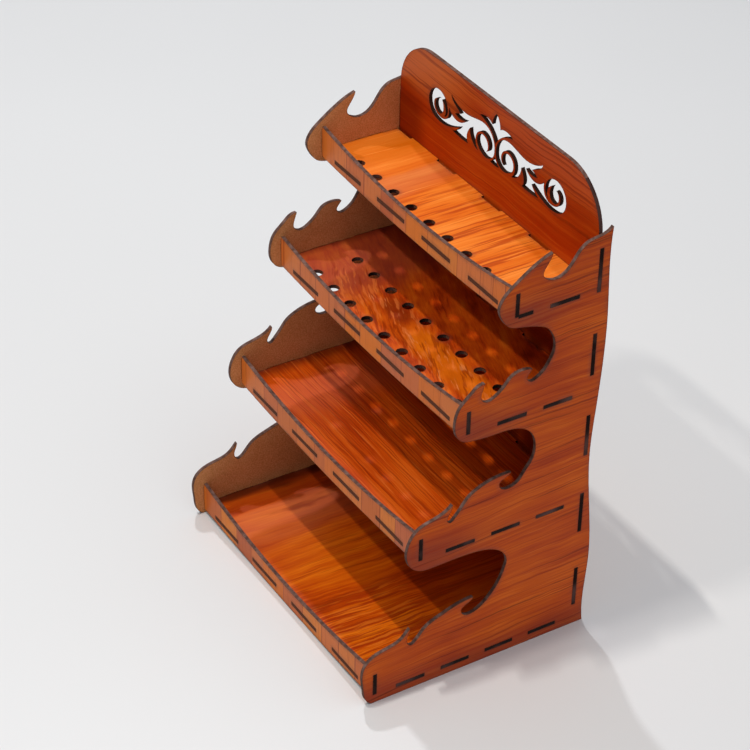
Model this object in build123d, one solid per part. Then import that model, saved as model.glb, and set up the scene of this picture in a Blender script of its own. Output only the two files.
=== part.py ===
from build123d import *
import os

# A four-tier paint shelf of laser-cut sheet, held together by tabs in slots.
# Millimetres. X runs along the shelves, Y from the front to the back, Z up.

# Sheet and fit
sheet = 3.0                 # thickness of every panel
slot_gap = 0.15             # clearance round a tab in its slot

# Overall sizes
width = 270.0               # over the outer faces of the two side panels
back_y = 186.7              # middle of the back panel, from the foot of the side panels
crest_height = 85.8         # top edge of the back panel above the top shelf
crest_radius = 42.0         # rounded top corners of the back panel

# Tiers, from the bottom up
first_shelf_z = 8.0         # middle of the bottom shelf
rises = (114.1, 101.0, 88.1)
first_lip_y = 6.0           # middle of the lowest lip
lip_step = 36.8             # each lip stands this much further back than the one below
tier_names = ("bottom", "second", "third", "top")

# Tabs of the shelves in the side panels
side_tab = 25.0
side_tab_count = 4
side_tab_front = 19.0       # first tab behind the middle of the lowest lip
side_tab_back = 15.2        # last tab in front of the back panel
side_tab_least = 10.0       # a tab that the lip would cut shorter than this is left out

# Tabs of the shelves in the lips and in the back panel
long_tab = 38.0
long_tab_count = 4
long_tab_inset = 38.25      # middle of the outer tabs from the side panels
shoulder_gap = 2.0          # shelf edge to back panel, between the tabs

# Tabs of the back panel and of the lips in the side panels
back_tab = 36.5
back_tab_count = 5
back_tab_first = 37.5       # middle of the lowest tab above the ground
back_tab_last = 16.7        # middle of the highest tab above the top shelf
lip_tab = 19.5

# Lips: heights above and below the middle of their shelf
lip_rim = 2.0               # ear above the lip's tab
lip_middle = 10.0
lip_end_drop = 4.5
lip_sag = 4.5
lip_ground_gap = 0.7        # the lowest lip hangs just clear of the ground

# Brush holes
hole_diameter = 9.0
hole_count = 9
hole_inset = 32.0           # middle of the end holes from the side panels
hole_setback = 11.1         # row of holes behind the back face of the lip

# Cut-out in the crest
scroll_width = 182.0
scroll_rise = 37.0          # its base line above the top shelf


def evenly(first, last, count):
    """Places of count things spread evenly from first to last."""
    return [first + i * (last - first) / (count - 1) for i in range(count)]


# Values that follow from the sizes above
inner_x = width / 2 - sheet
tiers = len(tier_names)
shelf_z = [first_shelf_z + sum(rises[:k]) for k in range(tiers)]
lip_y = [first_lip_y + lip_step * k for k in range(tiers)]
back_front_y = back_y - sheet / 2
crest_top = shelf_z[-1] + crest_height
slot_sheet = sheet + 2 * slot_gap
side_tab_y = evenly(lip_y[0] + side_tab_front, back_front_y - side_tab_back - side_tab, side_tab_count)
long_tab_x = evenly(long_tab_inset - inner_x, inner_x - long_tab_inset, long_tab_count)
back_tab_z = evenly(back_tab_first, shelf_z[-1] + back_tab_last, back_tab_count)
hole_x = evenly(hole_inset - inner_x, inner_x - hole_inset, hole_count)

# Shelves with brush holes, by tier: the lips that each row of holes stands behind
hole_rows = {2: (2, 3), 3: (3,)}

# Side panel, front lobe of each tier: from its underside round the nose to the curled tip.
# Each point is measured from the middle of the lip and the middle of the shelf.
foot_toe = 3.1
lobes = (
    ((-8.2, -2.0), (-10.3, 10.6), (-11.2, 19.0), (-8.6, 30.6), (0.4, 37.4), (14.7, 40.6),
     (22.2, 43.5), (26.8, 47.9), (29.8, 51.5)),
    ((10.8, -11.4), (0.8, -10.4), (-8.0, -4.2), (-12.1, 8.6), (-9.6, 19.6), (-3.5, 27.9),
     (10.8, 32.9), (26.4, 40.9)),
    ((14.0, -8.8), (5.4, -7.8), (-4.0, -5.5), (-10.2, 2.2), (-11.0, 14.8), (-7.5, 24.8),
     (1.1, 33.3), (6.0, 37.8), (12.7, 39.6)),
    ((11.5, -11.9), (2.9, -9.8), (-5.7, -6.9), (-11.6, 0.0), (-15.0, 10.2), (-11.4, 18.8),
     (-2.8, 26.7), (11.5, 36.7), (20.5, 41.6), (27.9, 44.3)),
)

# Side panel, from each curled tip down into the notch and up again to the rear tip.
# Each point is a share of the way back to the rear tip, and a height from the curled tip.
notches = (
    ((-0.016, -4.6), (-0.046, -10.4), (0.013, -16.3), (0.156, -10.9), (0.254, -4.9), (0.498, 1.3),
     (0.756, 5.8)),
    ((-0.051, -8.0), (-0.077, -13.6), (-0.036, -15.6), (0.063, -12.2), (0.156, -6.6), (0.265, 0.6),
     (0.425, 5.9), (0.694, 10.1)),
    ((-0.052, -6.7), (-0.062, -12.7), (0.057, -16.9), (0.278, -14.1), (0.453, -7.7), (0.574, -2.3),
     (0.717, -0.1)),
    ((-0.084, -8.7), (-0.141, -15.5), (-0.014, -21.9), (0.209, -21.2), (0.346, -14.8), (0.461, -6.3),
     (0.580, -1.3), (0.814, 1.2)),
)

# Side panel, the open bay between two tiers. Its deepest point is a share of the way from the
# lip above it to the back panel, and its rear tip and hook are measured from that point and
# the shelf below.
bay_depths = (0.538, 0.566, 0.501)
rear_tips = ((-28.6, 58.9), (-20.4, 51.9), (-18.7, 38.2))
hooks = (
    ((-34.2, 54.2), (-39.0, 50.4), (-37.4, 45.6), (-28.8, 43.6), (-20.9, 47.0)),
    ((-24.6, 48.9), (-30.6, 44.2), (-28.6, 39.6), (-20.9, 37.6), (-13.4, 40.6)),
    ((-21.1, 35.2), (-22.9, 31.2), (-19.4, 27.6), (-14.4, 28.6), (-8.0, 33.3)),
)

# The arch of each bay: a distance from its deepest point, and a share of the height from the
# hook to the ceiling.
arches = (
    ((-13.8, 0.166), (-7.3, 0.312), (-1.2, 0.550), (0.0, 0.652), (-3.8, 0.810), (-10.9, 0.907),
     (-21.2, 0.970), (-35.0, 1.000)),
    ((-8.1, 0.190), (-3.3, 0.310), (0.0, 0.546), (-1.6, 0.700), (-5.2, 0.817), (-13.2, 0.932),
     (-30.0, 0.995)),
    ((-4.0, 0.237), (-0.6, 0.383), (0.0, 0.520), (-3.0, 0.735), (-8.0, 0.866), (-16.6, 0.955)),
)

# Side panel, top of the back edge and the wave below it: a distance behind the middle of the
# back panel, and a height above the top shelf or a share of the whole height.
back_tip = (8.8, 50.5)
back_wave = ((7.9, 0.96), (9.8, 0.80), (6.2, 0.56), (4.0, 0.46), (8.6, 0.29), (10.9, 0.17), (8.3, 0.05),
             (9.6, 0.0))


def box_at(x, y, size_x, size_y):
    return Pos(x, y) * Rectangle(size_x, size_y)


def lobe(tier):
    points = [(lip_y[tier] + y, shelf_z[tier] + z) for y, z in lobes[tier]]
    if tier == 0:
        points.insert(0, (lip_y[0] - foot_toe, 0))
    return points


def bay_end(tier):
    return lip_y[tier + 1] + bay_depths[tier] * (back_y - lip_y[tier + 1])


def notch(tier):
    """From the curled tip of a tier to its rear tip, or to the top of the back edge."""
    tip = lobe(tier)[-1]
    rear = (back_y + back_tip[0], shelf_z[tier] + back_tip[1])
    if tier < len(bay_depths):
        y, z = rear_tips[tier]
        rear = (bay_end(tier) + y, shelf_z[tier] + z)
    points = [(tip[0] + share * (rear[0] - tip[0]), tip[1] + z) for share, z in notches[tier]]
    return [tip] + points + [rear]


def bay(tier):
    """From the rear tip round the bay to the nose and the curled tip of the tier above."""
    end = bay_end(tier)
    hook = [(end + y, shelf_z[tier] + z) for y, z in hooks[tier]]
    above = lobe(tier + 1)
    low = min(z for _, z in hook)
    arch = [(end + y, low + share * (above[0][1] - low)) for y, share in arches[tier]]
    return [notch(tier)[-1]] + hook + arch + above


def side_outline():
    """The side panel's edge, drawn as (y, z), from the front foot over the top and down the back."""
    top = notch(len(bay_depths))[-1]
    wave = [top] + [(back_y + y, share * top[1]) for y, share in back_wave]
    edges = [Spline(*lobe(0)), Spline(*notch(0))]
    for tier in range(len(bay_depths)):
        edges.append(Spline(*bay(tier)))
        edges.append(Spline(*notch(tier + 1)))
    edges.append(Spline(*wave))
    edges.append(Line(wave[-1], lobe(0)[0]))
    return make_face(edges)


def side_tabs(tier):
    """Start and end, along Y, of the shelf's tabs in a side panel."""
    front = lip_y[tier] + sheet / 2
    spans = []
    for y in side_tab_y:
        start = max(y, front)
        end = y + side_tab
        if end - start > side_tab_least:
            spans.append((start, end))
    return spans


def side_panel():
    """One side panel, drawn in the plane of its sheet."""
    face = side_outline()
    for tier in range(tiers):
        for start, end in side_tabs(tier):
            face -= box_at((start + end) / 2, shelf_z[tier], end - start + 2 * slot_gap, slot_sheet)
        face -= box_at(lip_y[tier], shelf_z[tier] + lip_tab / 2, slot_sheet, lip_tab + 2 * slot_gap)
    for z in back_tab_z:
        face -= box_at(back_y, z, slot_sheet, back_tab + 2 * slot_gap)
    return extrude(face, sheet)


def shelf(tier):
    """One shelf, with its tabs on all four sides."""
    front = lip_y[tier] + sheet / 2
    back = back_front_y - shoulder_gap
    face = Sketch() + box_at(0, (front + back) / 2, 2 * inner_x, back - front)
    for start, end in side_tabs(tier):
        face += box_at(0, (start + end) / 2, width, end - start)
    depth = (back_y + sheet / 2) - (front - sheet)
    middle = (back_y + sheet / 2 + front - sheet) / 2
    for x in long_tab_x:
        face += box_at(x, middle, long_tab, depth)
    for row in hole_rows.get(tier, ()):
        y = lip_y[row] + sheet / 2 + hole_setback
        for x in hole_x:
            face -= Pos(x, y) * Circle(hole_diameter / 2)
    return Pos(0, 0, shelf_z[tier] - sheet / 2) * extrude(face, sheet)


def lip(tier):
    """One front strip: bowed down in the middle, with an ear at each end."""
    z = shelf_z[tier]
    top = z + lip_tab + lip_rim
    low = z - lip_end_drop
    bottom = max(low - lip_sag, lip_ground_gap)
    face = make_face([
        ThreePointArc((-inner_x, top), (0, z + lip_middle), (inner_x, top)),
        Line((inner_x, top), (inner_x, low)),
        ThreePointArc((inner_x, low), (0, bottom), (-inner_x, low)),
        Line((-inner_x, low), (-inner_x, top)),
    ])
    face += box_at(0, z + lip_tab / 2, width, lip_tab) - box_at(0, z + lip_tab / 2, 2 * inner_x, lip_tab)
    for x in long_tab_x:
        face -= box_at(x, z, long_tab + 2 * slot_gap, slot_sheet)
    return face


# Scroll in the crest: right half, measured from its middle and its base line.
# Each list is one smooth stroke; strokes meet at points.
stroke_reach = 91.0
crown = (
    ((0.0, 40.2), (2.9, 37.0), (4.6, 33.0), (5.2, 29.4)),
    ((5.2, 29.4), (8.2, 31.0), (12.2, 31.8), (16.2, 31.6), (21.5, 30.0)),
    ((21.5, 30.0), (16.5, 28.6), (12.3, 27.0), (8.3, 24.8), (4.4, 21.6), (0.0, 15.4)),
)
vine = (
    # Over the arch and out along the upper leaf
    ((1.1, 9.0), (1.6, 14.0), (4.2, 19.0), (9.4, 23.3), (16.0, 24.9), (26.3, 23.6), (39.7, 21.4),
     (49.7, 22.7), (60.5, 27.8)),
    # Back along the leaf, the small finger under it and the upper edge of the stem
    ((60.5, 27.8), (58.4, 24.2), (53.4, 21.0), (47.5, 17.4)),
    ((47.5, 17.4), (51.0, 16.4), (54.6, 14.4)),
    ((54.6, 14.4), (47.0, 13.3), (40.0, 14.8)),
    ((40.0, 14.8), (43.4, 11.9), (50.5, 9.5), (57.0, 10.4), (63.2, 15.6)),
    # Under the loop and up inside it to the point of its hook
    ((63.2, 15.6), (63.0, 10.5), (65.0, 5.4), (70.0, 2.2), (77.0, 2.2), (82.4, 5.4), (84.0, 10.6),
     (78.4, 16.0)),
    # Round the eye of the loop
    ((78.4, 16.0), (81.8, 12.4), (81.0, 7.0), (76.3, 4.6), (71.9, 7.0), (71.0, 12.0), (73.2, 17.4)),
    # Down the slit and back over the whole outside of the loop to the lower tongue
    ((73.2, 17.4), (69.4, 14.6), (67.4, 10.4), (69.4, 4.8)),
    ((69.4, 4.8), (65.4, 8.4), (65.3, 14.2), (69.4, 20.8), (78.0, 24.0), (87.4, 19.8), (91.0, 11.0),
     (87.6, 2.4), (77.0, -2.0), (64.5, -0.9), (54.0, 2.9), (48.0, 5.8)),
    # The lower finger and the inner edge of the stem
    ((48.0, 5.8), (51.0, 2.2), (57.0, -1.2)),
    ((57.0, -1.2), (46.0, -2.2), (36.2, -1.8)),
    ((36.2, -1.8), (38.2, 3.0), (36.9, 8.0), (34.0, 12.4)),
    # The outer edge of the crescent, then the ring over the eye and the eye itself
    ((34.0, 12.4), (32.9, 7.0), (29.4, 2.2), (22.4, -1.2)),
    ((22.4, -1.2), (26.0, 4.4), (24.7, 12.6), (16.9, 16.8), (9.3, 12.9), (8.0, 7.0), (11.6, 3.0)),
    ((11.6, 3.0), (9.7, 8.6), (12.2, 13.2), (17.2, 14.8), (22.9, 11.6), (23.8, 5.4), (18.6, 0.0),
     (11.0, -1.8), (4.4, 1.0), (1.1, 9.0)),
)
drop = (
    ((0.0, 4.4), (2.3, 0.8), (5.8, -2.0)),
    ((5.8, -2.0), (2.9, -2.6), (0.0, -2.7)),
)


def strokes_face(strokes):
    scale = scroll_width / 2 / stroke_reach
    return make_face([Spline(*[(x * scale, z * scale) for x, z in stroke]) for stroke in strokes])


def mirrored(strokes):
    """A half outline whose ends lie on the middle line, completed by its mirror image."""
    other = tuple(tuple((-x, z) for x, z in reversed(stroke)) for stroke in reversed(strokes))
    return tuple(strokes) + other


def scroll():
    leaf = strokes_face(vine)
    cuts = strokes_face(mirrored(crown)) + strokes_face(mirrored(drop)) + leaf + mirror(leaf, Plane.YZ)
    return Pos(0, shelf_z[-1] + scroll_rise) * cuts


def back_panel():
    """The back panel, drawn in the plane of its sheet, with the scroll in its crest."""
    face = box_at(0, crest_top / 2, 2 * inner_x, crest_top)
    face = fillet(face.vertices().group_by(Axis.Y)[-1], crest_radius)
    for z in back_tab_z:
        face += box_at(0, z, width, back_tab)
    for tier in range(tiers):
        for x in long_tab_x:
            face -= box_at(x, shelf_z[tier], long_tab + 2 * slot_gap, slot_sheet)
    return face - scroll()


def upright(face, y):
    """A sheet that stands across the shelf, with its middle at y."""
    return Plane(origin=(0, y + sheet / 2, 0), x_dir=(1, 0, 0), z_dir=(0, -1, 0)) * extrude(face, sheet)


def build():
    right = Plane(origin=(inner_x, 0, 0), x_dir=(0, 1, 0), z_dir=(1, 0, 0)) * side_panel()
    parts = {
        "side_panel_right": right,
        "side_panel_left": mirror(right, Plane.YZ),
        "back_panel": upright(back_panel(), back_y),
    }
    for tier, name in enumerate(tier_names):
        parts[name + "_shelf"] = shelf(tier)
        parts[name + "_lip"] = upright(lip(tier), lip_y[tier])
    middle = right.bounding_box().center().Y
    return {name: Pos(0, -middle, 0) * part for name, part in parts.items()}


os.makedirs("parts", exist_ok=True)
for name, part in build().items():
    export_step(part, os.path.join("parts", name + ".step"))
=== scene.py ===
import math
import bpy
from mathutils import Matrix, Vector

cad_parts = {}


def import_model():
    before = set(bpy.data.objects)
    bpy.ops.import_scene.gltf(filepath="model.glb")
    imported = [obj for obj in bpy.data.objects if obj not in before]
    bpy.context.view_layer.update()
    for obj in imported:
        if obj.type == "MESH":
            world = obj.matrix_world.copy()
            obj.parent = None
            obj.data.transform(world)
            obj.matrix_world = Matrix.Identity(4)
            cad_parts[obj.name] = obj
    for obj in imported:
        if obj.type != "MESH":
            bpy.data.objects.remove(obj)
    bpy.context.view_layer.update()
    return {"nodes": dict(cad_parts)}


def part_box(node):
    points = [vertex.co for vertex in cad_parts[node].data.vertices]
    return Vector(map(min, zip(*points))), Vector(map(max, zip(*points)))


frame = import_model()

# Camera: the photograph's viewing angle, in metres and degrees
CAMERA_PLACE = (1.3135, -0.8342, 1.28006)
CAMERA_AZIMUTH = 57.8804
CAMERA_ELEVATION = 35.0998
CAMERA_ROLL = 1.27145
CAMERA_SENSOR = 36.0
CAMERA_LENS = 119.815
CAMERA_SHIFT_X = -0.0027

# Lamps: where each one stands from the point they all aim at, how far off, how long and wide, and how strong
WARM_WHITE = (1.0, 0.96, 0.90)
COOL_WHITE = (0.93, 0.96, 1.0)
LAMP_AIM = (-0.04, 0.0, 0.12)
LAMPS = {
    "overhead_lamp": {"toward": (-0.06, -0.21, 1.0), "distance": 2.6, "size": (0.22, 0.04), "power": 23.0,
                      "color": WARM_WHITE},
    "front_lamp": {"toward": (0.0, -0.58, 1.0), "distance": 2.6, "size": (0.24, 0.06), "power": 14.0,
                   "color": WARM_WHITE},
    "left_lamp": {"toward": (-0.62, 0.18, 1.0), "distance": 3.0, "size": (0.12, 0.16), "power": 23.0,
                  "color": COOL_WHITE},
}

# Sky: dim low down so that the tiers stay dark inside, brighter above, and brightest to the right and rear.
# A rise is the range over which the brighter colour comes in: of the direction's share of straight up, or of
# straight towards SKY_RIGHT_WAY.
SKY_LOW = (0.03, 0.03, 0.036)
SKY_TOP = (0.40, 0.41, 0.43)
SKY_TOP_RISE = (0.0, 0.8)
SKY_RIGHT = (0.90, 0.90, 0.92)
SKY_RIGHT_WAY = (0.86, 0.50, 0.10)
SKY_RIGHT_RISE = (0.15, 0.90)

# Floor: a pale square with faint, slightly paler clouds, so many to the metre
FLOOR_SIZE = 8.0
FLOOR_COLOR = (0.71, 0.715, 0.72)
FLOOR_PALER = 1.03
FLOOR_CLOUDS = 1.5
FLOOR_CLOUD_RISE = (0.3, 0.7)
FLOOR_ROUGHNESS = 0.45

# Backdrop: a round wall that stands on the floor and glows by itself, its painted light turning from grey at
# its foot to pale higher up
BACKDROP_RADIUS = 3.9
BACKDROP_HEIGHT = 4.0
BACKDROP_SIDES = 96
BACKDROP_FOOT = (0.36, 0.362, 0.368)
BACKDROP_PALE = (0.68, 0.683, 0.69)
BACKDROP_PALE_FROM = 0.9


def camera():
    """The camera stands where the photograph was taken from."""
    azimuth, elevation, roll = map(math.radians, (CAMERA_AZIMUTH, CAMERA_ELEVATION, CAMERA_ROLL))
    back = Vector((math.sin(azimuth) * math.cos(elevation), -math.cos(azimuth) * math.cos(elevation),
                   math.sin(elevation)))
    level = Vector((math.cos(azimuth), math.sin(azimuth), 0.0))
    upright = back.cross(level)
    right = level * math.cos(roll) + upright * math.sin(roll)
    top = upright * math.cos(roll) - level * math.sin(roll)
    data = bpy.data.cameras.new("camera")
    data.lens = CAMERA_LENS
    data.sensor_width = CAMERA_SENSOR
    data.shift_x = CAMERA_SHIFT_X
    holder = bpy.data.objects.new("camera", data)
    turn = Matrix((right, top, back)).transposed().to_4x4()
    holder.matrix_world = Matrix.Translation(CAMERA_PLACE) @ turn
    bpy.context.scene.collection.objects.link(holder)
    bpy.context.scene.camera = holder


def lamp(name, toward, distance, size, power, color):
    """A long soft lamp that points at the shelf."""
    data = bpy.data.lights.new(name, "AREA")
    data.shape = "ELLIPSE"
    data.size, data.size_y = size
    data.energy = power
    data.color = color
    away = Vector(toward).normalized()
    holder = bpy.data.objects.new(name, data)
    turn = away.to_track_quat("Z", "Y").to_matrix().to_4x4()
    holder.matrix_world = Matrix.Translation(Vector(LAMP_AIM) + away * distance) @ turn
    bpy.context.scene.collection.objects.link(holder)


def light_value(level):
    """A screen level from 0 to 255 as the amount of light, by the sRGB curve."""
    return ((level / 255 + 0.055) / 1.055) ** 2.4 if level > 10 else level / 255 / 12.92


def tone(red, green, blue):
    """A colour given as 0 to 255 on screen, in the light values that the shader takes."""
    return tuple(light_value(level) for level in (red, green, blue))


def rgba(color):
    """Three light values made opaque. A socket stays as it is."""
    return (*color, 1.0) if isinstance(color, tuple) else color


class Graph:
    """The nodes of a material or of the sky, made one at a time."""

    def __init__(self, tree):
        self.nodes = tree.nodes
        self.links = tree.links
        self.nodes.clear()

    def put(self, socket, value):
        """A link where the value is a socket, and a set value otherwise."""
        if isinstance(value, bpy.types.NodeSocket):
            self.links.new(value, socket)
        else:
            socket.default_value = value

    def new(self, kind, settings=None, inputs=None):
        node = self.nodes.new("ShaderNode" + kind)
        for key, value in (settings or {}).items():
            setattr(node, key, value)
        for key, value in (inputs or {}).items():
            self.put(node.inputs[key], value)
        return node

    def math(self, operation, a, b=0.0, c=0.0):
        return self.new("Math", {"operation": operation}, {0: a, 1: b, 2: c}).outputs[0]

    def total(self, *terms):
        """The sum of (value, weight) pairs."""
        result = 0.0
        for value, weight in terms:
            result = self.math("MULTIPLY_ADD", value, weight, result)
        return result

    def step(self, value, low, high):
        """0 at low, 1 at high, and smooth between."""
        inputs = {"Value": value, "From Min": low, "From Max": high}
        return self.new("MapRange", {"interpolation_type": "SMOOTHSTEP"}, inputs).outputs[0]

    def mix(self, share, a, b):
        """Colour a where share is 0, b where it is 1. A Mix node's colours are inputs 6 and 7, output 2."""
        return self.new("Mix", {"data_type": "RGBA"}, {0: share, 6: rgba(a), 7: rgba(b)}).outputs[2]

    def mix_values(self, share, a, b):
        """The same for plain values, which are a Mix node's inputs 2 and 3, output 0."""
        return self.new("Mix", {"data_type": "FLOAT"}, {0: share, 2: a, 3: b}).outputs[0]

    def ramp(self, value, stops):
        """The colours of (place, colour) pairs, blended where the value falls between two places."""
        node = self.new("ValToRGB", None, {"Fac": value})
        points = node.color_ramp.elements
        while len(points) < len(stops):
            points.new(1.0)
        for point, (place, color) in zip(points, stops):
            point.position = place
            point.color = rgba(color)
        return node.outputs[0]

    def noise(self, vector, detail=2.0, rough=0.5, scale=1.0):
        inputs = {"Vector": vector, "Scale": scale, "Detail": detail, "Roughness": rough}
        return self.new("TexNoise", None, inputs).outputs[0]

    def stretched(self, u, v, per_u, per_v, seed):
        """A place in noise space: per_u and per_v features to the metre along and across."""
        x = self.math("MULTIPLY", u, per_u)
        y = self.math("MULTIPLY", v, per_v)
        return self.new("CombineXYZ", None, {"X": x, "Y": y, "Z": seed}).outputs[0]


# A mask says for each axis that it names where it comes in and where it goes out again, each as the pair of
# places between which that happens, or None where it doesn't.
def after(bare, full):
    return (bare, full), None


def before(full, gone):
    return None, (full, gone)


def between(bare, full, fade, gone):
    return (bare, full), (fade, gone)


def wash(color, strength, ragged, **mask):
    """A soft patch of another tone, used for printed tones and for painted light and shade. Its borders
    wander over about "ragged" metres.
    """
    return tone(*color), strength, ragged, mask


def streaks(color, grain, start, strength, **mask):
    """Thin marks of another tone, where a noise with "grain" features to the metre passes the start level."""
    return tone(*color), grain, start, strength, mask


# Darker mauve on the ends' front lobes, beside each shelf above the lowest: the places in Y between which it
# fades to the rear, and where it comes in below the shelf's middle and goes out above it
DARKER_MAUVE = (104, 44, 42)
LOBE_STRENGTH = 0.48
LOBE_RAGGED = 0.010
LOBE_FADES = {"second_shelf": (-0.045, 0.030), "third_shelf": (-0.010, 0.050), "top_shelf": (0.030, 0.080)}
LOBE_SPREAD = (-0.024, -0.010, 0.002, 0.024)


def lobe_washes():
    """The lobes' darker mauve, one wash for each shelf."""
    washes = []
    for shelf, fade in LOBE_FADES.items():
        low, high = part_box(shelf)
        heights = ((low.z + high.z) / 2 + step for step in LOBE_SPREAD)
        washes.append(wash(DARKER_MAUVE, LOBE_STRENGTH, LOBE_RAGGED, Y=before(*fade), Z=between(*heights)))
    return washes


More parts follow.
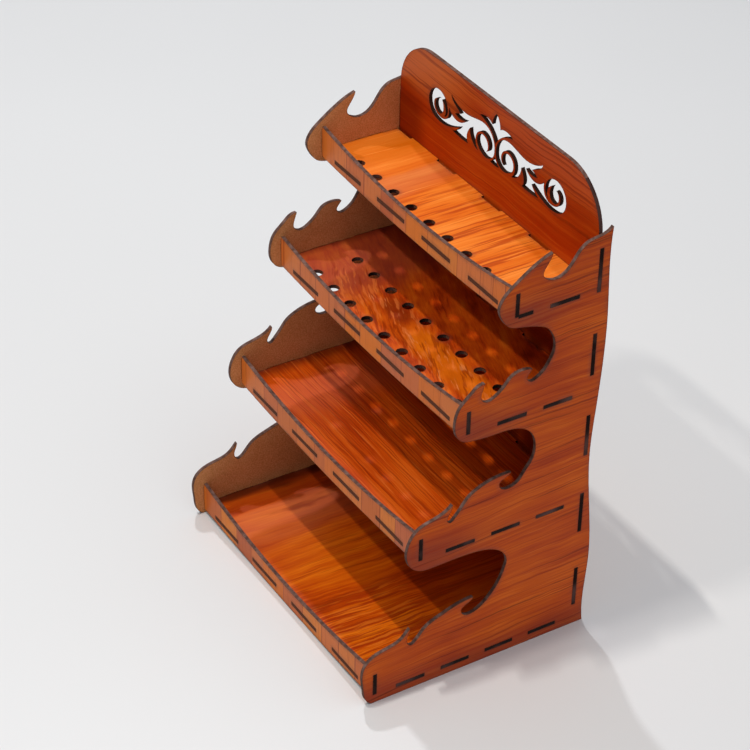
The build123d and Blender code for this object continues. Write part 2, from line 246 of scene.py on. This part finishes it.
# Printed wood films. The grain runs along the first of "axes", turned by "turn" degrees, and wanders to the
# side by about "sway" metres slowly and "curl" metres quickly. "bands", "lines" and "cloud" are noises, with
# so many features to the metre along and across the grain, and "weights" says how much each of them counts.
# Their sum runs through "tones", which are colours on screen. "shine" is the film's specular level.
# Some washes below are painted light and shade, not print; each one is marked where it stands
FILMS = {
    "side": {
        "axes": "YZ", "turn": 2.0, "sway": 0.005, "curl": 0.0009, "shine": 0.08,
        "bands": (7.0, 120.0), "lines": (16.0, 560.0), "cloud": (12.0, 30.0), "weights": (0.24, 0.34, 0.34),
        "tones": ((152, 54, 18), (176, 68, 18), (189, 81, 17), (206, 98, 26)),
        "washes": (
            # The ends get darker and more mauve towards the foot
            wash(DARKER_MAUVE, 0.45, 0.010, Z=before(0.004, 0.030)),
            *lobe_washes(),
        ),
        "streaks": (
            streaks((92, 26, 12), (5.0, 330.0), 0.61, 0.62),
            streaks((146, 44, 14), (7.0, 460.0), 0.53, 0.45),
            streaks((212, 112, 44), (9.0, 460.0), 0.63, 0.30),
        ),
    },
    "crest": {
        "axes": "XZ", "turn": 1.0, "sway": 0.006, "curl": 0.0010, "shine": 0.06,
        "bands": (6.0, 120.0), "lines": (14.0, 560.0), "cloud": (6.0, 20.0), "weights": (0.26, 0.24, 0.34),
        "tones": ((138, 34, 2), (166, 50, 4), (178, 62, 8), (198, 86, 20)),
        "washes": (
            # Painted light: the crest's upper band, left and middle, is lighter and tanner as if lit from
            # above, over its printed tone
            wash((214, 112, 46), 0.60, 0.012, X=before(-0.075, -0.020), Z=after(0.350, 0.372)),
            wash((200, 92, 46), 0.50, 0.010, X=after(-0.04, 0.02), Z=after(0.366, 0.384)),
            # Painted shadow: the left end's shadow on the crest's lower left corner
            wash((104, 24, 2), 0.60, 0.006, X=before(-0.112, -0.088), Z=before(0.340, 0.356)),
            # Painted shade: the back panel below the crest, inside the tiers and at the crest's foot, is
            # darkened
            wash((90, 24, 4), 0.50, 0.004, Z=before(0.300, 0.311)),
        ),
        "streaks": (
            streaks((116, 30, 4), (5.0, 300.0), 0.60, 0.45),
            streaks((120, 34, 6), (6.0, 420.0), 0.54, 0.60, Z=after(0.350, 0.366)),
            streaks((214, 104, 34), (8.0, 420.0), 0.62, 0.35),
        ),
    },
    "top": {
        "axes": "YX", "turn": 1.0, "sway": 0.003, "curl": 0.0007, "shine": 0.13,
        "bands": (9.0, 75.0), "lines": (18.0, 560.0), "cloud": (11.0, 30.0), "weights": (0.36, 0.28, 0.34),
        "tones": ((206, 86, 14), (222, 108, 24), (232, 124, 38), (244, 146, 60)),
        "washes": (
            # Painted shade: the left end's shadow on the top shelf, deeper orange without the left lamp's
            # sheen
            wash((208, 102, 8), 0.70, 0.020, X=before(-0.100, -0.085)),
            # Painted sheen: a pinkish haze where the left lamp's light falls
            wash((196, 102, 66), 0.45, 0.030, X=between(-0.078, -0.066, -0.056, -0.034)),
        ),
        "streaks": (
            streaks((180, 66, 12), (12.0, 300.0), 0.54, 0.80, X=after(-0.075, -0.01)),
            streaks((150, 50, 10), (8.0, 420.0), 0.62, 0.70, X=after(-0.01, 0.03)),
            streaks((250, 156, 70), (14.0, 300.0), 0.60, 0.35),
        ),
    },
    "third": {
        "axes": "XY", "turn": -20.0, "sway": 0.009, "curl": 0.0016, "shine": 0.16,
        "bands": (34.0, 110.0), "lines": (60.0, 460.0), "cloud": (30.0, 44.0), "weights": (0.32, 0.34, 0.42),
        "tones": ((144, 40, 4), (188, 66, 8), (208, 86, 12), (226, 110, 24)),
        "washes": (
            # Painted sheen and shade: the left front of the third shelf is darker and pinker, as under the
            # left lamp's haze
            wash((144, 62, 48), 0.55, 0.030, X=before(-0.080, -0.040)),
            # Painted shade: a dark band in the corner by the left end
            wash((92, 26, 6), 0.60, 0.004, X=before(-0.133, -0.122)),
            wash((108, 32, 8), 0.60, 0.020, X=between(-0.050, -0.034, -0.014, 0.002),
                 Y=between(0.008, 0.016, 0.024, 0.034)),
            wash((230, 122, 8), 0.45, 0.014, X=after(-0.010, 0.020), Y=between(0.0, 0.010, 0.024, 0.032)),
        ),
        "streaks": (
            streaks((140, 40, 2), (40.0, 300.0), 0.55, 0.62,
                    X=after(-0.126, -0.090), Y=before(0.028, 0.044)),
            streaks((232, 122, 54), (44.0, 280.0), 0.56, 0.50,
                    X=after(-0.126, -0.070), Y=before(0.026, 0.040)),
            streaks((242, 150, 90), (50.0, 340.0), 0.63, 0.45,
                    X=after(-0.105, -0.050), Y=before(0.024, 0.034)),
        ),
    },
    "second": {
        "axes": "XY", "turn": 0.0, "sway": 0.004, "curl": 0.0008, "shine": 0.16,
        "bands": (5.0, 90.0), "lines": (16.0, 620.0), "cloud": (11.0, 15.0), "weights": (0.24, 0.44, 0.24),
        "tones": ((156, 44, 2), (186, 64, 4), (202, 80, 10), (216, 98, 22)),
        "washes": (
            # Painted light and sheen: the pinkish patch that the left lamp casts through the end's bay
            wash((196, 92, 58), 0.40, 0.006, X=between(-0.112, -0.098, -0.078, -0.050)),
            # Painted shade: a dark band in the corner by the left end
            wash((84, 24, 6), 0.70, 0.005, X=before(-0.130, -0.116)),
        ),
        "streaks": (
            streaks((124, 32, 2), (8.0, 430.0), 0.58, 0.65, X=after(-0.15, -0.02)),
            streaks((136, 38, 2), (12.0, 680.0), 0.55, 0.55),
            streaks((236, 124, 50), (14.0, 560.0), 0.59, 0.40),
        ),
    },
    "bottom": {
        "axes": "YX", "turn": 2.0, "sway": 0.006, "curl": 0.0016, "shine": 0.16,
        "bands": (7.0, 70.0), "lines": (18.0, 420.0), "cloud": (11.0, 15.0), "weights": (0.42, 0.32, 0.26),
        "tones": ((148, 44, 0), (192, 70, 2), (212, 92, 4), (234, 120, 14)),
        "washes": (
            # Painted light and sheen: the pinkish patch that the left lamp casts through the end's bay
            wash((204, 104, 60), 0.52, 0.036, X=between(-0.108, -0.096, -0.082, -0.045)),
            # Painted shade: the left end's shadow from the left lamp, with a ragged flame-like border; partly
            # a printed flame
            wash((152, 52, 10), 0.72, 0.090, X=before(-0.110, -0.098)),
            # Painted shade: a dark band in the corner by the left end
            wash((64, 20, 6), 0.88, 0.024, X=before(-0.130, -0.119)),
        ),
        "streaks": (
            streaks((158, 52, 2), (9.0, 210.0), 0.54, 0.60, X=after(-0.06, -0.02)),
            streaks((236, 124, 34), (20.0, 300.0), 0.49, 0.55,
                    X=after(0.022, 0.036), Y=before(-0.020, 0.004)),
            streaks((164, 48, 6), (20.0, 440.0), 0.51, 0.75,
                    X=after(0.022, 0.036), Y=before(-0.010, 0.014)),
        ),
    },
}

# Noise levels at which a film's four tones stand, and how far above its start level a streak is full
TONE_PLACES = (0.37, 0.46, 0.54, 0.64)
STREAK_EDGE = 0.08

# Noises of the films: how far each one's seed lies from the board's, its detail and its roughness
LAYERS = {
    "wander": (0.0, 2.0, 0.5),
    "ripple": (7.0, 2.0, 0.5),
    "band": (3.0, 3.0, 0.5),
    "line": (5.0, 3.0, 0.7),
    "cloud": (11.0, 2.0, 0.5),
    "lick": (17.0, 3.0, 0.5),
    "streak": (9.0, 2.0, 0.6),
}
STREAK_SEED_STEP = 4.0

# Features to the metre, along and across the grain, of the noises that are alike in all films: the slow and
# the quick wandering of the grain, and the ragged borders of the washes
WANDER = (9.0, 12.0)
RIPPLE = (60.0, 40.0)
LICK = (16.0, 70.0)

# Lips: upright blocks of film of uneven width, so many to the metre, with fine upright grain and a thin dark
# line between some of them. The line's width is in blocks, and its share is the range of a block's random
# value over which the line comes in.
LIP_TONES = (tone(224, 118, 30), tone(202, 106, 64), tone(228, 130, 44), tone(194, 95, 48),
             tone(216, 117, 54))
LIP_BLOCKS = 38.0
LIP_SEED_STEP = 10.0
LIP_GRAIN = (24.0, 480.0)
LIP_GRAIN_NOISE = {"detail": 3.0, "rough": 0.6}
LIP_GRAIN_RISE = (0.52, 0.68)
LIP_GRAIN_STRENGTH = 0.24
LIP_LINE = tone(150, 52, 16)
LIP_LINE_WIDTH = (0.012, 0.034)
LIP_LINE_SHARE = (0.45, 0.55)
LIP_LINE_STRENGTH = 0.8
LIP_SHINE = 0.10

# Raw fibreboard on the back of each sheet: fine fibres and wide stains, the scales in features to the metre
RAW_BOARD = ((0.38, tone(184, 122, 74)), (0.50, tone(200, 138, 86)), (0.62, tone(212, 152, 102)))
FIBRE_NOISE = {"detail": 3.0, "scale": 900.0}
STAIN_NOISE = {"detail": 5.0, "rough": 0.65, "scale": 34.0}
FIBRE_SHARE = 0.68
STAIN_SHARE = 0.32

# Laser-cut edges, and the ends of tabs where they show in the slots of the ends, the lips and the back
BURNT_EDGE = ((0.32, tone(78, 54, 46)), (0.52, tone(100, 74, 66)), (0.75, tone(124, 96, 88)))
BURNT_NOISE = {"detail": 3.0, "scale": 260.0}
# The tab ends are near-black: their burn, darkened further as painted shade inside the slots they sit in
BURNT_AND_SHADED_TAB_END = ((0.46, tone(28, 14, 10)), (0.66, tone(80, 56, 52)))
TAB_NOISE = {"detail": 2.0, "scale": 38.0}
FRONT_TAB = tone(96, 56, 38)

# The scroll's cut walls are dark, with the scorch colour as their burn and as painted shade inside the narrow
# cuts;
# this box holds them, and no other edge that shows
SCROLL_HALF_WIDTH = 0.100
SCROLL_TOP = 0.392

# Marks of the laser beside its cuts: a narrow scorch on both faces and on the shelves' tabs, and wide patchy
# smoke on the film. A mark is full where the product of the rounded normal and the face's own is down to its
# "from" value, and gone where it is up to MARK_GONE.
# The scorch colour also paints the shade inside the scroll's cut walls
SCORCH_AND_SCROLL_SHADE = tone(44, 24, 16)
SCORCH_WIDTH = 0.0013
SCORCH_FROM = 0.78
SCORCH_STRENGTH = 0.92
SMOKE = tone(118, 62, 50)
SMOKE_WIDTH = 0.0075
SMOKE_FROM = 0.80
SMOKE_STRENGTH = 0.60
SMOKE_PATCHES = (0.35, 0.65)
MARK_GONE = 0.998
MARK_SAMPLES = 6

# Sheen and fine relief: the film is smoother where its line noise is low, and raw board and edges are dull
FILM_ROUGHNESS = 0.30
LINE_ROUGHNESS = 0.10
RAW_ROUGHNESS = 0.8
LINE_RELIEF = 0.5
FIBRE_RELIEF = 0.2
RELIEF_STRENGTH = 0.10
RELIEF_DEPTH = 0.0004

# A face looks along an axis where its normal has more than this share of it
FACING = 0.5


def masked(g, strength, place, mask, shift=0.0):
    """The strength where the mask lets it through, with the mask's borders moved by shift."""
    for axis, (rise, fall) in mask.items():
        spot = g.math("ADD", place.outputs[axis], shift)
        if rise:
            strength = g.math("MULTIPLY", strength, g.step(spot, *rise))
        if fall:
            strength = g.math("MULTIPLY", strength, g.math("SUBTRACT", 1.0, g.step(spot, *fall)))
    return strength


def layer(g, name, u, v, features, seed):
    """One noise of a film, with so many features to the metre along u and v."""
    seed_step, detail, rough = LAYERS[name]
    return g.noise(g.stretched(u, v, *features, seed + seed_step), detail, rough)


def wood_print_and_painted_light(g, place, film, seed):
    """Colour and fine height of a film with straight or flaming grain, and the painted light and shade of its
    washes.
    """
    design = FILMS[film]
    first, second = (place.outputs[axis] for axis in design["axes"])
    angle = math.radians(design["turn"])
    u = g.total((first, math.cos(angle)), (second, math.sin(angle)))
    v = g.total((second, math.cos(angle)), (first, -math.sin(angle)))
    wander = layer(g, "wander", u, v, WANDER, seed)
    ripple = layer(g, "ripple", u, v, RIPPLE, seed)
    sway, curl = design["sway"], design["curl"]
    bent = g.total((v, 1.0), (wander, 2 * sway), (ripple, 2 * curl), (1.0, -sway - curl))

    band = layer(g, "band", u, bent, design["bands"], seed)
    line = layer(g, "line", u, bent, design["lines"], seed)
    cloud = layer(g, "cloud", u, v, design["cloud"], seed)
    weights = design["weights"]
    level = g.total(*((noise, weight / sum(weights)) for noise, weight in zip((band, line, cloud), weights)))
    color = g.ramp(level, [(stop, tone(*screen)) for stop, screen in zip(TONE_PLACES, design["tones"])])

    lick = layer(g, "lick", u, v, LICK, seed)
    # Washes: printed tones, and painted sheen, light patches and shade where a film has them
    for patch, strength, ragged, mask in design["washes"]:
        shift = g.math("MULTIPLY_ADD", lick, ragged, -ragged / 2)
        color = g.mix(masked(g, strength, place, mask, shift), color, patch)
    for count, (mark, grain, start, strength, mask) in enumerate(design["streaks"]):
        noise = layer(g, "streak", u, bent, grain, seed + STREAK_SEED_STEP * count)
        shown = g.math("MULTIPLY", g.step(noise, start, start + STREAK_EDGE), strength)
        color = g.mix(masked(g, shown, place, mask), color, mark)
    return color, line


def lip_film(g, place, seed):
    """Colour and fine height of the blocks along a lip."""
    along = g.math("MULTIPLY_ADD", place.outputs["X"], LIP_BLOCKS, seed * LIP_SEED_STEP)
    inputs = {"W": along, "Scale": 1.0}
    block = g.new("TexVoronoi", {"voronoi_dimensions": "1D"}, inputs)
    border = g.new("TexVoronoi", {"voronoi_dimensions": "1D", "feature": "DISTANCE_TO_EDGE"}, inputs)
    pick = g.new("SeparateXYZ", None, {"Vector": block.outputs["Color"]})
    stops = [((i + 0.5) / len(LIP_TONES), color) for i, color in enumerate(LIP_TONES)]
    color = g.ramp(pick.outputs["X"], stops)

    grain = g.noise(g.stretched(place.outputs["Z"], place.outputs["X"], *LIP_GRAIN, seed), **LIP_GRAIN_NOISE)
    color = g.mix(g.math("MULTIPLY", g.step(grain, *LIP_GRAIN_RISE), LIP_GRAIN_STRENGTH), color, LIP_LINE)
    line = g.math("SUBTRACT", 1.0, g.step(border.outputs["Distance"], *LIP_LINE_WIDTH))
    shown = g.math("MULTIPLY", line, g.step(pick.outputs["Y"], *LIP_LINE_SHARE))
    color = g.mix(g.math("MULTIPLY", shown, LIP_LINE_STRENGTH), color, LIP_LINE)
    return color, grain


def cut_mark(g, width, full_level):
    """1 on a cut's corner, down to 0 at width away from it."""
    rounded = g.new("Bevel", {"samples": MARK_SAMPLES}, {"Radius": width}).outputs[0]
    flat = g.new("NewGeometry").outputs["True Normal"]
    level = g.new("VectorMath", {"operation": "DOT_PRODUCT"}, {0: rounded, 1: flat}).outputs["Value"]
    return g.math("SUBTRACT", 1.0, g.step(level, full_level, MARK_GONE))


def looks_along(g, facing, axis):
    """1 on faces that look either way along an axis."""
    return g.math("GREATER_THAN", g.math("ABSOLUTE", facing.outputs[axis]), FACING)


def cut_edge(g, spot, place, facing, film, axis):
    """Colour of a board's cut edges, for a board whose faces look along the given axis."""
    edge = g.ramp(g.noise(spot, **BURNT_NOISE), BURNT_EDGE)
    if axis == "Z":
        edge = g.mix(looks_along(g, facing, "Y"), edge, FRONT_TAB)
    if axis != "X":
        # Tab ends looking along X sit in slots, where their near-black is partly painted shade
        shaded_tab_end = g.ramp(g.noise(spot, **TAB_NOISE), BURNT_AND_SHADED_TAB_END)
        edge = g.mix(looks_along(g, facing, "X"), edge, shaded_tab_end)
    # Painted shade: the scroll's cut walls all take the scorch colour, darker than other burnt edges
    if film == "crest":
        across = g.math("LESS_THAN", g.math("ABSOLUTE", place.outputs["X"]), SCROLL_HALF_WIDTH)
        below = g.math("LESS_THAN", place.outputs["Z"], SCROLL_TOP)
        edge = g.mix(g.math("MULTIPLY", across, below), edge, SCORCH_AND_SCROLL_SHADE)
    return edge


def new_material(name):
    material = bpy.data.materials.new(name)
    material.use_nodes = True
    return material, Graph(material.node_tree)


def board(name, film, face, seed):
    """Printed board: wood film on the face side with painted light and shade in some films, raw board behind
    it, and burnt cut edges with painted shade in the slots and the scroll's cuts.
    """
    material, g = new_material(name)
    coordinates = g.new("TexCoord")
    spot = coordinates.outputs["Object"]
    place = g.new("SeparateXYZ", None, {"Vector": spot})
    facing = g.new("SeparateXYZ", None, {"Vector": coordinates.outputs["Normal"]})
    axis, sign = face
    turned = g.math("MULTIPLY", facing.outputs[axis], sign)
    front = g.math("GREATER_THAN", turned, FACING)
    behind = g.math("LESS_THAN", turned, -FACING)
    sheet = g.math("MAXIMUM", front, behind)

    if film == "lip":
        wood, line = lip_film(g, place, seed)
        shine = LIP_SHINE
    else:
        wood, line = wood_print_and_painted_light(g, place, film, seed)
        shine = FILMS[film]["shine"]
    fibre = g.noise(spot, **FIBRE_NOISE)
    stain = g.noise(spot, **STAIN_NOISE)
    raw = g.ramp(g.total((fibre, FIBRE_SHARE), (stain, STAIN_SHARE)), RAW_BOARD)
    smoke = g.math("MULTIPLY", cut_mark(g, SMOKE_WIDTH, SMOKE_FROM), g.step(stain, *SMOKE_PATCHES))
    wood = g.mix(g.math("MULTIPLY", smoke, SMOKE_STRENGTH), wood, SMOKE)
    edge = cut_edge(g, spot, place, facing, film, axis)
    color = g.mix(behind, g.mix(front, edge, wood), raw)
    marked = g.math("MAXIMUM", sheet, looks_along(g, facing, "Y")) if axis == "Z" else sheet
    scorch = g.math("MULTIPLY", cut_mark(g, SCORCH_WIDTH, SCORCH_FROM), marked)
    color = g.mix(g.math("MULTIPLY", scorch, SCORCH_STRENGTH), color, SCORCH_AND_SCROLL_SHADE)

    film_rough = g.math("MULTIPLY_ADD", line, LINE_ROUGHNESS, FILM_ROUGHNESS)
    rough = g.mix_values(front, RAW_ROUGHNESS, film_rough)
    height = g.total((line, LINE_RELIEF), (fibre, FIBRE_RELIEF))
    relief = {"Strength": RELIEF_STRENGTH, "Distance": RELIEF_DEPTH, "Height": height}
    bump = g.new("Bump", None, relief).outputs[0]
    surface = {"Base Color": color, "Roughness": rough, "Normal": bump, "Specular IOR Level": shine}
    shader = g.new("BsdfPrincipled", None, surface)
    g.new("OutputMaterial", None, {"Surface": shader.outputs[0]})
    return material


# Each board: its film, the axis and the sense in which its printed face looks, and the seed of its grain
BOARDS = {
    "side_panel_right": ("side", ("X", 1.0), 3.1),
    "side_panel_left": ("side", ("X", -1.0), 8.4),
    "back_panel": ("crest", ("Y", -1.0), 5.2),
    "bottom_shelf": ("bottom", ("Z", 1.0), 4.8),
    "second_shelf": ("second", ("Z", 1.0), 9.3),
    "third_shelf": ("third", ("Z", 1.0), 6.6),
    "top_shelf": ("top", ("Z", 1.0), 2.7),
    "bottom_lip": ("lip", ("Y", -1.0), 1.3),
    "second_lip": ("lip", ("Y", -1.0), 7.9),
    "third_lip": ("lip", ("Y", -1.0), 12.2),
    "top_lip": ("lip", ("Y", -1.0), 15.5),
}


def finish_boards():
    """Each CAD board keeps its shape and place and gets its finish."""
    for name, (film, face, seed) in BOARDS.items():
        material = board(name + "_finish", film, face, seed)
        for slot in frame["nodes"][name].material_slots:
            slot.link = "OBJECT"
            slot.material = material


def stage_piece(name, corners, faces, material):
    """A mesh around the shelf that isn't part of it."""
    mesh = bpy.data.meshes.new(name)
    mesh.from_pydata(corners, [], faces)
    mesh.materials.append(material)
    piece = bpy.data.objects.new(name, mesh)
    bpy.context.scene.collection.objects.link(piece)
    return piece


def floor():
    """A plain pale floor."""
    material, g = new_material("pale_floor")
    cloud = g.noise(g.new("TexCoord").outputs["Object"], scale=FLOOR_CLOUDS)
    paler = tuple(c * FLOOR_PALER for c in FLOOR_COLOR)
    shade = g.ramp(cloud, tuple(zip(FLOOR_CLOUD_RISE, (FLOOR_COLOR, paler))))
    shader = g.new("BsdfPrincipled", None, {"Base Color": shade, "Roughness": FLOOR_ROUGHNESS})
    g.new("OutputMaterial", None, {"Surface": shader.outputs[0]})
    half = FLOOR_SIZE / 2
    corners = [(-half, -half, 0), (half, -half, 0), (half, half, 0), (-half, half, 0)]
    stage_piece("floor", corners, [(0, 1, 2, 3)], material)


def backdrop():
    """A plain wall that glows by itself in painted light and closes low views above the floor. It doesn't
    light the shelf or show in its gloss.
    """
    material, g = new_material("pale_backdrop")
    place = g.new("SeparateXYZ", None, {"Vector": g.new("TexCoord").outputs["Object"]})
    shade = g.mix(g.step(place.outputs["Z"], 0.0, BACKDROP_PALE_FROM), BACKDROP_FOOT, BACKDROP_PALE)
    shine = g.new("Emission", None, {"Color": shade, "Strength": 1.0})
    g.new("OutputMaterial", None, {"Surface": shine.outputs[0]})
    turns = [2 * math.pi * i / BACKDROP_SIDES for i in range(BACKDROP_SIDES)]
    ring = [(BACKDROP_RADIUS * math.cos(turn), BACKDROP_RADIUS * math.sin(turn)) for turn in turns]
    corners = [(x, y, z) for z in (0.0, BACKDROP_HEIGHT) for x, y in ring]
    nexts = [(i + 1) % BACKDROP_SIDES for i in range(BACKDROP_SIDES)]
    faces = [(i, j, j + BACKDROP_SIDES, i + BACKDROP_SIDES) for i, j in enumerate(nexts)]
    wall = stage_piece("backdrop", corners, faces, material)
    wall.visible_diffuse = False
    wall.visible_glossy = False
    wall.visible_shadow = False


def sky():
    """Soft light from above, brightest from the right."""
    world = bpy.data.worlds.new("sky")
    world.use_nodes = True
    g = Graph(world.node_tree)
    way = g.new("TexCoord").outputs["Generated"]
    upward = g.new("SeparateXYZ", None, {"Vector": way}).outputs["Z"]
    rightward = g.new("VectorMath", {"operation": "DOT_PRODUCT"}, {0: way, 1: SKY_RIGHT_WAY}).outputs["Value"]
    color = g.mix(g.step(upward, *SKY_TOP_RISE), SKY_LOW, SKY_TOP)
    color = g.mix(g.step(rightward, *SKY_RIGHT_RISE), color, SKY_RIGHT)
    shine = g.new("Background", None, {"Color": color, "Strength": 1.0})
    g.new("OutputWorld", None, {"Surface": shine.outputs[0]})
    bpy.context.scene.world = world


camera()
floor()
backdrop()
sky()
for lamp_name, setup in LAMPS.items():
    lamp(lamp_name, **setup)
finish_boards()
bpy.context.scene.view_settings.view_transform = "Standard"
